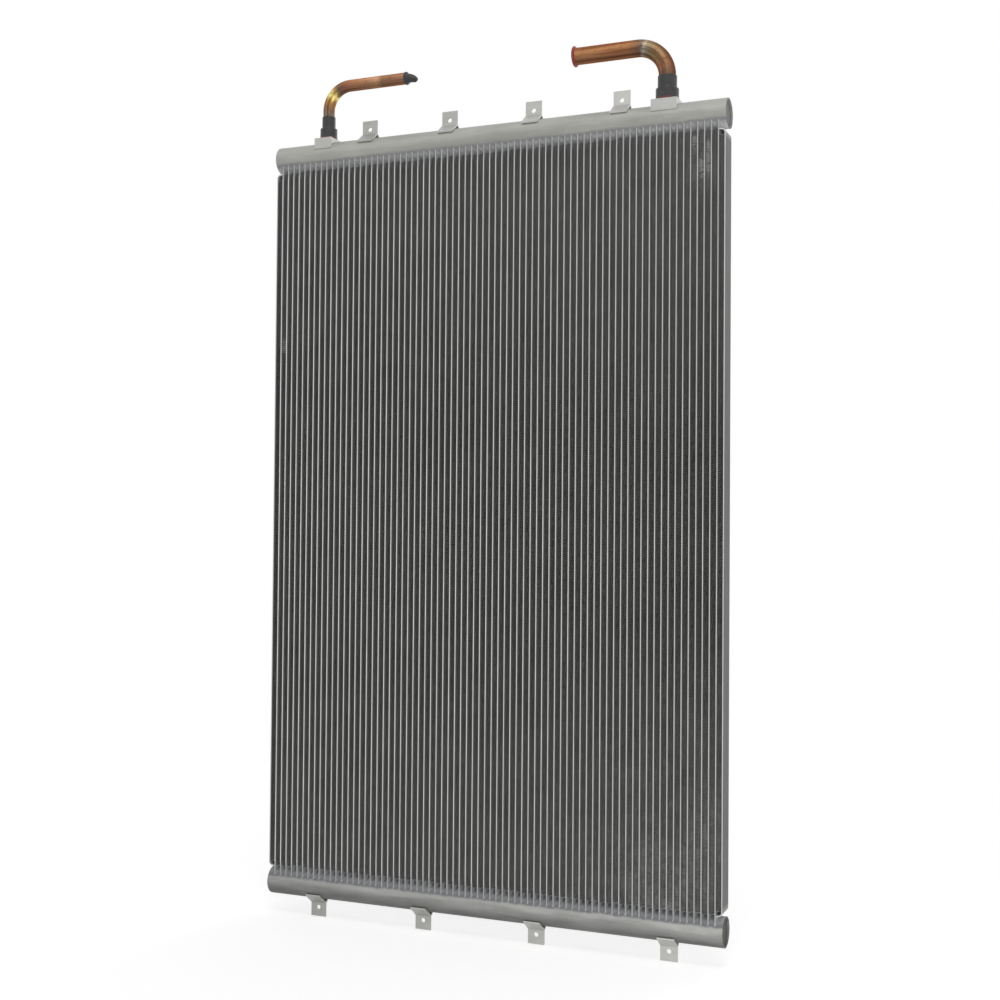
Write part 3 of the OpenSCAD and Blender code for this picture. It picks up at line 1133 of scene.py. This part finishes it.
@dataclass(frozen=True)
class ShrunkSleeve:
    """Black sleeve shrunk over the joint of pipe and stub, with a ring of sealant below."""

    pipe: str
    node: str
    upper_length: float = 16.5 * MM
    wall: float = 1.3 * MM
    shoulder: float = 1.6 * MM
    shoulder_steps: int = 8
    ripple: float = 0.16 * MM
    ripples_up: float = 90.0
    ripples_round: float = 1.6
    sealant_height: float = 3.2 * MM
    sealant_proud: float = 0.45 * MM
    sealant_depth: float = 0.4 * MM

    def build(self, finish: Material, sealant: Material) -> None:
        """Makes the sleeve and its sealant ring and hands them over.

        Args:
            finish: Sleeve material.
            sealant: Material of the ring.
        """
        low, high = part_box(self.node)
        bore, wide = half_y(self.pipe), half_y(self.node)
        outline = self._outline(bore, wide, high.z - low.z)
        foot = Vector((middle(self.node, Axis.X), middle(self.node, Axis.Y), low.z))
        sleeve = Turned(self.node + "_shrunk", tuple(outline), foot, Axis.Z)
        skin = partial(self._ripple, bore)
        hand_over(sleeve.build(finish, skin), "sleeve_black", self.node)
        proud, inside = self.sealant_proud, wide - self.sealant_depth
        ring = [(inside, 0.0), (wide + proud, 0.0)]
        ring += round_corner(wide, self.sealant_height - proud, proud, 0.0, 90.0, 4)
        ring.append((inside, self.sealant_height))
        seal = Turned(self.node + "_sealant", tuple(ring), foot, Axis.Z)
        hand_over(seal.build(sealant), "cap_red")

    def _outline(self, bore: float, wide: float, length: float) -> list[Point]:
        """Draws half of the sleeve's section.

        Args:
            bore: Inner radius.
            wide: Outer radius over the stub.
            length: Whole length.

        Returns:
            The points as radius and height.
        """
        narrow = bore + self.wall
        step_z = length - self.upper_length
        start = step_z + self.shoulder / 2
        shares = (0.2, 0.4, 0.6, 0.8)
        outline = [(bore, 0.0), (wide, 0.0)]
        outline += [(wide, step_z * share) for share in shares]
        for turn in range(self.shoulder_steps + 1):
            share = turn / self.shoulder_steps
            drop = (1 + math.cos(math.pi * share)) / 2
            height = step_z - self.shoulder / 2 + self.shoulder * share
            outline.append((narrow + (wide - narrow) * drop, height))
        outline += [(narrow, start + (length - start) * share) for share in shares]
        lip = self.wall * 0.4
        outline += round_corner(narrow - lip, length - lip, lip, 0.0, 90.0)
        outline.append((bore, length))
        return outline

    def _ripple(self, bore: float, turn: float, radius: float, height: float) -> Vector:
        """Moves a point of the uneven outside by a smooth noise, and leaves the bore true.

        Args:
            bore: Inner radius.
            turn: Angle around the axis.
            radius: Distance from the axis.
            height: Height along the axis.

        Returns:
            The point's place.
        """
        spot = Vector((math.cos(turn), math.sin(turn), height * self.ripples_up)) * self.ripples_round
        swell = noise.noise(spot) * self.ripple if radius > bore else 0.0
        sag = noise.noise(spot + Vector((9.0, 4.0, 0.0))) * self.ripple * 2
        rise = height + (sag if radius > bore and height > self.shoulder else 0.0)
        return Vector(((radius + swell) * math.cos(turn), (radius + swell) * math.sin(turn), rise))


@dataclass(frozen=True)
class PipeClosures:
    """Red cap in the inlet pipe and black rubber plug in the outlet pipe."""

    inlet: PipePath
    outlet: PipePath
    cap_edge: float = 3.8 * MM
    cap_slope: float = 1.2 * MM
    cap_dish: float = 0.9 * MM
    cap_wall: float = 1.4 * MM
    cap_round: float = 0.3
    cap_lip: float = 0.80
    cap_floor: float = 0.74
    plug_edge: float = 3.2 * MM
    plug_neck: float = 6.3 * MM
    plug_tail: float = 18.0 * MM
    plug_tip: float = 4.2 * MM
    plug_droop: float = 2.8 * MM
    plug_round: float = 0.9 * MM
    plug_lead: Point = (0.8 * MM, 1.6 * MM)
    lumps_up: float = 160.0
    lumps_round: float = 1.3
    pipe_wall: float = 1.2 * MM
    play: float = 0.1 * MM

    def build(self, red: Material, black: Material) -> None:
        """Makes both closures and hands them over."""
        self._cap(red)
        self._plug(black)

    def _cap(self, finish: Material) -> None:
        """Makes the dished cap with its skirt inside the pipe.

        Args:
            finish: Cap material.
        """
        low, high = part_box("inlet_cap")
        pipe, rim = half_y("inlet_pipe"), half_y("inlet_cap")
        bore = pipe - self.pipe_wall - self.play
        skirt = high.x - low.x - self.cap_edge
        back, hollow = -self.cap_edge, bore - self.cap_wall
        round_r = self.cap_edge * self.cap_round
        outline = [(0.0, back), (hollow, back), (hollow, back - skirt), (bore, back - skirt)]
        outline += [(bore, back), (pipe, back)]
        outline += round_corner(rim - round_r, back + self.cap_slope + round_r, round_r, -60.0, 0.0)
        outline += round_corner(rim - round_r, -round_r, round_r, 0.0, 90.0)
        outline += [(rim * self.cap_lip, -0.1 * MM), (rim * self.cap_floor, -self.cap_dish)]
        outline.append((0.0, -self.cap_dish))
        face = Vector((low.x, middle("inlet_cap", Axis.Y), self.inlet.run_z))
        cap = Turned("inlet_cap_moulded", tuple(outline), face, Axis.X, self.inlet.side)
        hand_over(cap.build(finish), "cap_red", "inlet_cap")

    def _plug(self, finish: Material) -> None:
        """Makes the plug with its flange and drooping, pinched tail.

        Args:
            finish: Plug material.
        """
        low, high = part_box("outlet_plug")
        bore = half_y("outlet_pipe") - self.pipe_wall - self.play
        rim = half_y("outlet_plug")
        mouth = high.x - self.plug_tail
        body = mouth - low.x
        round_r = self.plug_round
        lead_in, lead_up = self.plug_lead
        outline = [(0.0, -body), (bore - lead_in, -body), (bore, -body + lead_up), (bore, 0.0)]
        outline += round_corner(rim - round_r, round_r, round_r, -90.0, 0.0)
        outline += round_corner(rim - round_r, self.plug_edge - round_r, round_r, 0.0, 90.0)
        outline += [(self.plug_neck + 0.5 * MM, self.plug_edge + 0.1 * MM)]
        for share in (0.08, 0.2, 0.35, 0.5, 0.65, 0.8):
            height = self.plug_edge + (self.plug_tail - self.plug_edge) * share
            taper = (self.plug_tip - self.plug_neck) * share ** 2.5
            outline.append((self.plug_neck + taper, height))
        tip = self.plug_tip * 0.7
        outline += round_corner(self.plug_tip - tip, self.plug_tail - tip, tip, 0.0, 90.0)
        outline.append((0.0, self.plug_tail))
        face = Vector((mouth, middle("outlet_plug", Axis.Y), self.outlet.run_z))
        plug = Turned("outlet_plug_moulded", tuple(outline), face, Axis.X, self.outlet.side, 56)
        hand_over(plug.build(finish, self._pinch), "plug_black", "outlet_plug")

    def _pinch(self, turn: float, radius: float, height: float) -> Vector:
        """Flattens and lowers the tail more and more towards its tip.

        Args:
            turn: Angle around the axis.
            radius: Distance from the axis.
            height: Height along the axis.

        Returns:
            The point's place.
        """
        share = max(0.0, (height - self.plug_edge) / (self.plug_tail - self.plug_edge))
        spot = Vector((math.cos(turn), math.sin(turn), height * self.lumps_up)) * self.lumps_round
        lump = noise.noise(spot)
        grown = radius * (1.0 + 0.2 * share * lump)
        wide = grown * (1.0 + 0.10 * share) * math.cos(turn)
        tall = grown * (1.0 - 0.22 * share) * math.sin(turn)
        return Vector((wide, tall - self.plug_droop * share ** 1.5, height))


@dataclass(frozen=True)
class Core:
    """Flat tubes, folded fin strips and side plates."""

    tubes: tuple[str, ...] = ("condensing_tubes", "subcooling_tubes")
    fins: tuple[str, ...] = ("condensing_fins", "subcooling_fins", "left_edge_fin", "right_edge_fin")
    plates: tuple[str, ...] = ("left_side_plate", "right_side_plate")
    plate_roll: float = 8.0 * MM

    def dress(self) -> None:
        """Gives the tubes and the side plates their finishes."""
        # Painted highlight on the tube noses, and painted light in the gaps by the headers
        tubes = NosedTube(
            "tube_finish",
            nose=(0.71, 0.71, 0.68),
            side=(0.28, 0.28, 0.275),
            end_nose=(0.47, 0.475, 0.48),
            end_side=(0.44, 0.445, 0.45),
            end_deep=(0.92, 0.93, 0.94),
            nose_y=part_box(self.tubes[0])[1].y,
            low_z=middle("bottom_header", Axis.Z),
            high_z=middle("top_header", Axis.Z),
        )
        paint(tubes, *self.tubes)
        rolls = EndTone(self.plates[1], Axis.Z, (0.45, 0.45, 0.44), self.plate_roll)
        # Painted highlight: the plates' front and back edges are painted light
        edges = EndTone(self.plates[1], Axis.Y, (0.82, 0.82, 0.80))
        plates = MillAluminium(
            "plate_finish", (0.20, 0.20, 0.198), Axis.Z, roughness=0.6, metallic=0.1, gloss=0.15,
            stain=0.1, ends=(rolls, edges),
        )
        paint(plates, *self.plates)

    def build(self) -> None:
        """Folds the fin strips of both passes and of both edges."""
        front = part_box(self.fins[0])[0]
        scuffs = (
            Scuff(0.299, 0.992, 0.005, 0.024, 1.6), Scuff(0.290, 0.977, 0.005, 0.015, 1.6),
            Scuff(0.2815, 1.011, 0.005, 0.010, 1.2), Scuff(0.290, 0.985, 0.022, 0.045, 0.35),
            Scuff(-0.308, 0.783, 0.004, 0.014, 1.4), Scuff(0.240, 0.090, 0.060, 0.060, 0.35),
            Scuff(0.295, 0.140, 0.030, 0.100, 0.35),
        )
        foil = FinFoil("fin_finish", (0.375, 0.375, 0.373), front.y, front.z, scuffs).material()
        maker = FinPack.maker()
        for node in self.fins:
            FinPack(node).build(maker, foil)


@dataclass(frozen=True)
class Headers:
    """Both round headers, with what closes and divides them and the braze along them."""

    top: str = "top_header"
    bottom: str = "bottom_header"
    inner: tuple[str, ...] = (
        "top_left_cap", "top_right_cap", "pass_baffle", "inlet_stub", "outlet_stub",
    )
    low_caps: tuple[str, ...] = ("bottom_left_cap", "bottom_right_cap")

    def dress(self) -> None:
        """Gives the headers, caps, baffle and stubs their finishes."""
        top_z, low_z = middle(self.top, Axis.Z), middle(self.bottom, Axis.Z)
        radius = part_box(self.top)[1].y
        top = MillAluminium(
            "top_header_finish", (0.43, 0.43, 0.40), Axis.X, roughness=0.52, metallic=0.35,
            blotch=0.16, stain=0.25,
            haze_and_light=JointHazeAndPaintedLight(top_z, -1.0, (0.34, 0.34, 0.345), (0.84, 0.845, 0.85)),
            shade=HeaderShade(top_z, radius, 1.14, 0.90),
            ends=(EndTone(self.top, Axis.X, (0.20, 0.20, 0.195)),),
        )
        # Painted shade: the bottom header and its ends are painted darker than the top header
        bottom = MillAluminium(
            "bottom_header_finish", (0.385, 0.383, 0.37), Axis.X, roughness=0.52, metallic=0.2,
            # drift paints light brighter towards the right
            blotch=0.17, stain=0.2, drift=0.12,
            haze_and_light=JointHazeAndPaintedLight(low_z, 1.0, (0.25, 0.255, 0.265), (0.50, 0.51, 0.52)),
            shade=HeaderShade(low_z, radius, 1.34, 0.36),
            ends=(EndTone(self.bottom, Axis.X, (0.11, 0.108, 0.104)),),
        )
        caps = MillAluminium(
            "cap_finish", (0.20, 0.20, 0.195), Axis.Y, roughness=0.6, metallic=0.2, gloss=0.15,
            streak=0.05, blotch=0.14,
        )
        paint(top, self.top)
        paint(bottom, self.bottom)
        paint(caps, *self.inner)
        # Painted shade: the bottom caps take the caps' finish in a darker colour
        paint(replace(caps, name="painted_shade_low_cap_finish", colour=(0.105, 0.103, 0.099)), *self.low_caps)

    def build(self) -> None:
        """Lays the braze beads along both headers."""
        low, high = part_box("subcooling_tubes")
        far_low, far_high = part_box("condensing_tubes")
        left, right = min(low.x, far_low.x), max(high.x, far_high.x)
        count = round((right - left - TUBE_THICKNESS) / TUBE_PITCH) + 1
        braze = MillAluminium("braze_finish", (0.50, 0.50, 0.47), Axis.Y, blotch=0.2, stain=0.4)
        finish, maker = braze.material(), BrazeBeads.maker()
        for header, facing in ((self.top, -1.0), (self.bottom, 1.0)):
            beads = BrazeBeads(header, left + TUBE_THICKNESS / 2, count, high.y - low.y, facing)
            beads.build(maker, finish)


@dataclass(frozen=True)
class Brackets:
    """The bolt tabs astride the headers and the saddles under the pipes."""

    rows: tuple[str, ...] = ("top_tab", "bottom_tab")
    tabs_in_row: int = 4
    saddles: tuple[str, ...] = ("inlet_saddle", "outlet_saddle")

    def dress(self) -> None:
        """Gives the tabs and the saddles their finishes."""
        tabs = MillAluminium(
            "tab_finish", (0.59, 0.59, 0.565), Axis.X, roughness=0.46, metallic=0.35, stain=0.15,
            # drift paints light brighter towards the right
            drift=0.2,
        )
        names = [f"{row}_{number + 1}" for row in self.rows for number in range(self.tabs_in_row)]
        paint(tabs, *names)
        paint(replace(tabs, name="saddle_finish", drift=0.0), *self.saddles)


@dataclass(frozen=True)
class Connections:
    """Both copper pipes, with their sleeves and what closes them."""

    inlet_bend: float = 40.0 * MM
    outlet_bend: float = 33.0 * MM
    outlet_sealant: float = 3.4 * MM

    @property
    def inlet(self) -> PipePath:
        """Middle line of the thick pipe."""
        return self._path("inlet_pipe", "inlet_sleeve", self.inlet_bend)

    @property
    def outlet(self) -> PipePath:
        """Middle line of the thin pipe."""
        return self._path("outlet_pipe", "outlet_sleeve", self.outlet_bend)

    @staticmethod
    def _path(pipe: str, sleeve: str, bend: float) -> PipePath:
        """Finds a pipe's middle line from its box and its sleeve's box.

        Args:
            pipe: Name of the pipe.
            sleeve: Name of the sleeve around its foot.
            bend: Radius of the bend.

        Returns:
            The middle line.
        """
        low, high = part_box(pipe)
        leg_x = middle(sleeve, Axis.X)
        side = 1.0 if high.x - leg_x > leg_x - low.x else -1.0
        return PipePath(leg_x, high.z - half_y(pipe), bend, side)

    def dress(self) -> None:
        """Gives the pipes their heat colours and painted highlights.

        The thick pipe is brown by the sleeve, straw in the bend and orange along the run, with a
        painted pale reflection where the bend meets the run. The thin one is grey by the sleeve, gold
        and dark in the bend and pink along the run, with a painted bright gold highlight in the bend.
        """
        # The stop at 0.512 is a painted pale reflection
        thick = (
            (0.00, (0.16, 0.09, 0.055)), (0.24, (0.16, 0.09, 0.06)), (0.30, (0.27, 0.13, 0.07)),
            (0.36, (0.21, 0.12, 0.06)), (0.41, (0.18, 0.12, 0.06)), (0.455, (0.19, 0.145, 0.08)),
            (0.49, (0.25, 0.215, 0.15)), (0.512, (0.42, 0.40, 0.34)), (0.53, (0.15, 0.105, 0.09)),
            (0.56, (0.23, 0.115, 0.065)), (0.62, (0.34, 0.14, 0.063)), (0.80, (0.36, 0.15, 0.064)),
            (1.00, (0.34, 0.15, 0.072)),
        )
        # The stop at 0.365 is a painted bright gold highlight
        thin = (
            (0.00, (0.20, 0.17, 0.15)), (0.20, (0.20, 0.16, 0.13)), (0.25, (0.26, 0.14, 0.07)),
            (0.31, (0.36, 0.20, 0.065)), (0.34, (0.70, 0.53, 0.17)), (0.365, (0.98, 0.84, 0.32)),
            (0.395, (0.38, 0.25, 0.08)), (0.43, (0.13, 0.10, 0.085)), (0.47, (0.22, 0.10, 0.065)),
            (0.55, (0.42, 0.19, 0.10)), (0.70, (0.53, 0.27, 0.15)), (0.78, (0.62, 0.34, 0.20)),
            (0.83, (0.30, 0.17, 0.09)), (0.88, (0.33, 0.16, 0.095)), (1.00, (0.36, 0.18, 0.11)),
        )
        pipes = (
            ("inlet_pipe", self.inlet, thick, -45.0 * MM, 145.0 * MM, 0.6),
            ("outlet_pipe", self.outlet, thin, -40.0 * MM, 135.0 * MM, 0.2),
        )
        for node, path, tints_and_highlights, start, end, burn in pipes:
            paint(TintedCopperWithPaintedSheen(f"{node}_copper", path, half_y(node), tints_and_highlights, start, end, burn), node)

    def build(self) -> None:
        """Makes the sleeves, the cap and the plug."""
        black = MouldedPolymer("sleeve_finish", (0.035, 0.035, 0.037), (0.10, 0.10, 0.10), 0.42)
        sealant = MouldedPolymer("sealant_finish", (0.14, 0.03, 0.02), (0.25, 0.08, 0.05), 0.4)
        red = MouldedPolymer("red_cap_finish", (0.32, 0.045, 0.038), (0.42, 0.15, 0.12), 0.45)
        rubber = MouldedPolymer("plug_finish", (0.055, 0.055, 0.057), (0.14, 0.13, 0.12), 0.62)
        sleeve, seal = black.material(), sealant.material()
        thin_sleeve = ShrunkSleeve("outlet_pipe", "outlet_sleeve", sealant_height=self.outlet_sealant)
        ShrunkSleeve("inlet_pipe", "inlet_sleeve").build(sleeve, seal)
        thin_sleeve.build(sleeve, seal)
        PipeClosures(self.inlet, self.outlet).build(red.material(), rubber.material())


@dataclass(frozen=True)
class Lamp:
    """A soft box that faces the coil."""

    name: str
    place: tuple[float, float, float]
    size: float
    power: float
    aim: tuple[float, float, float] = (0.0, 0.0, 0.62)

    def build(self) -> None:
        """Adds the lamp."""
        data = bpy.data.lights.new(self.name, "AREA")
        data.shape = "SQUARE"
        data.size = self.size
        data.energy = self.power
        lamp = new_object(self.name, data)
        lamp.location = self.place
        towards = Vector(self.aim) - Vector(self.place)
        lamp.rotation_euler = towards.to_track_quat("-Z", "Y").to_euler()


@dataclass(frozen=True)
class PhotoCamera:
    """Camera at the photograph's angle."""

    place: tuple[float, float, float] = (0.7194, -1.692594, 0.521478)
    yaw: float = 0.393451967
    pitch: float = 0.0235310509
    roll: float = 0.00808628906
    focal: float = 1.3844725
    sensor: float = 36.0

    def build(self) -> None:
        """Adds the camera and makes it the scene's own."""
        data = bpy.data.cameras.new("photo_camera")
        data.sensor_fit = "HORIZONTAL"
        data.sensor_width = self.sensor
        data.lens = self.focal * self.sensor
        data.clip_start = 0.01
        camera = new_object("photo_camera", data)
        turn = Matrix.Rotation(self.yaw, 3, "Z")
        turn = turn @ Matrix.Rotation(math.pi / 2 + self.pitch, 3, "X")
        turn = turn @ Matrix.Rotation(self.roll, 3, "Z")
        camera.matrix_world = Matrix.Translation(self.place) @ turn.to_4x4()
        bpy.context.scene.camera = camera


@dataclass(frozen=True)
class Studio:
    """Pale floor, white surroundings and soft lamps."""

    floor_z: float
    ambient: float = 0.45
    floor_size: float = 14.0
    floor_tone: Colour = (0.8, 0.8, 0.8)
    lift: float = 0.58
    white_from: float = 0.25
    white_to: float = 0.9
    lamps: tuple[Lamp, ...] = (
        Lamp("key_softbox", (0.7, -1.6, 3.3), 1.4, 15.0),
        Lamp("fill_softbox", (1.25, -1.35, 0.2), 0.9, 7.0),
        Lamp("back_softbox", (0.8, 2.6, 2.2), 1.6, 9.0),
    )

    def build(self) -> None:
        """Sets up the world, the floor and the lamps."""
        bpy.context.scene.view_settings.view_transform = "Standard"
        self._world()
        self._floor()
        for lamp in self.lamps:
            lamp.build()

    @staticmethod
    def _seen(graph: Graph) -> Num:
        """Tells rays that should meet plain white: camera, glossy and transmission rays.

        Args:
            graph: Tree of the world or the floor.

        Returns:
            1 for such rays and 0 for the others.
        """
        path = graph.node("ShaderNodeLightPath")
        seen = Num(graph, path.outputs["Is Camera Ray"])
        for name in ("Is Glossy Ray", "Is Transmission Ray"):
            seen = seen.at_least(Num(graph, path.outputs[name]))
        return seen

    def _world(self) -> None:
        """White for the eye, softer for the light that falls on the coil."""
        world = bpy.data.worlds.new("studio")
        world.use_nodes = True
        bpy.context.scene.world = world
        graph = Graph(world.node_tree)
        strength = self.ambient + (1.0 - self.ambient) * self._seen(graph)
        white = {"Color": (1.0, 1.0, 1.0, 1.0), "Strength": strength}
        shade = graph.out("ShaderNodeBackground", None, white)
        graph.node("ShaderNodeOutputWorld", None, {"Surface": shade})

    def _floor(self) -> None:
        """Pale floor that keeps the coil's shadow and fades to white around it."""
        half = self.floor_size / 2
        data = bpy.data.meshes.new("studio_floor")
        corners = [(-half, -half), (half, -half), (half, half), (-half, half)]
        data.from_pydata([(x, y, self.floor_z) for x, y in corners], [], [(0, 1, 2, 3)])
        floor = new_object("studio_floor", data)
        shader = Shader("studio_floor")
        seen = self._seen(shader)
        away = ((shader.x ** 2.0) * 0.35 + shader.y ** 2.0).root()
        white = away.fade(self.white_from, self.white_to) * seen
        diffuse = shader.out("ShaderNodeBsdfDiffuse", None, {"Color": (*self.floor_tone, 1.0)})
        pale = shader.out("ShaderNodeEmission", None, {"Strength": seen * self.lift})
        lit = shader.out("ShaderNodeAddShader", None, {0: diffuse, 1: pale})
        glow = shader.out("ShaderNodeEmission", None, {"Strength": 1.0})
        blend = shader.out("ShaderNodeMixShader", None, {0: white, 1: lit, 2: glow})
        shader.node("ShaderNodeOutputMaterial", None, {"Surface": blend})
        data.materials.append(shader.material)


def main() -> None:
    """Dresses and builds the coil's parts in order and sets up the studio."""
    logging.basicConfig(level=logging.INFO, format="%(name)s %(message)s")
    core, headers, brackets, connections = Core(), Headers(), Brackets(), Connections()
    for part in (core, headers, brackets, connections):
        part.dress()
    for part in (core, headers, connections):
        part.build()
    Studio(cad_box[0].z).build()
    PhotoCamera().build()


if __name__ == "__main__":
    main()
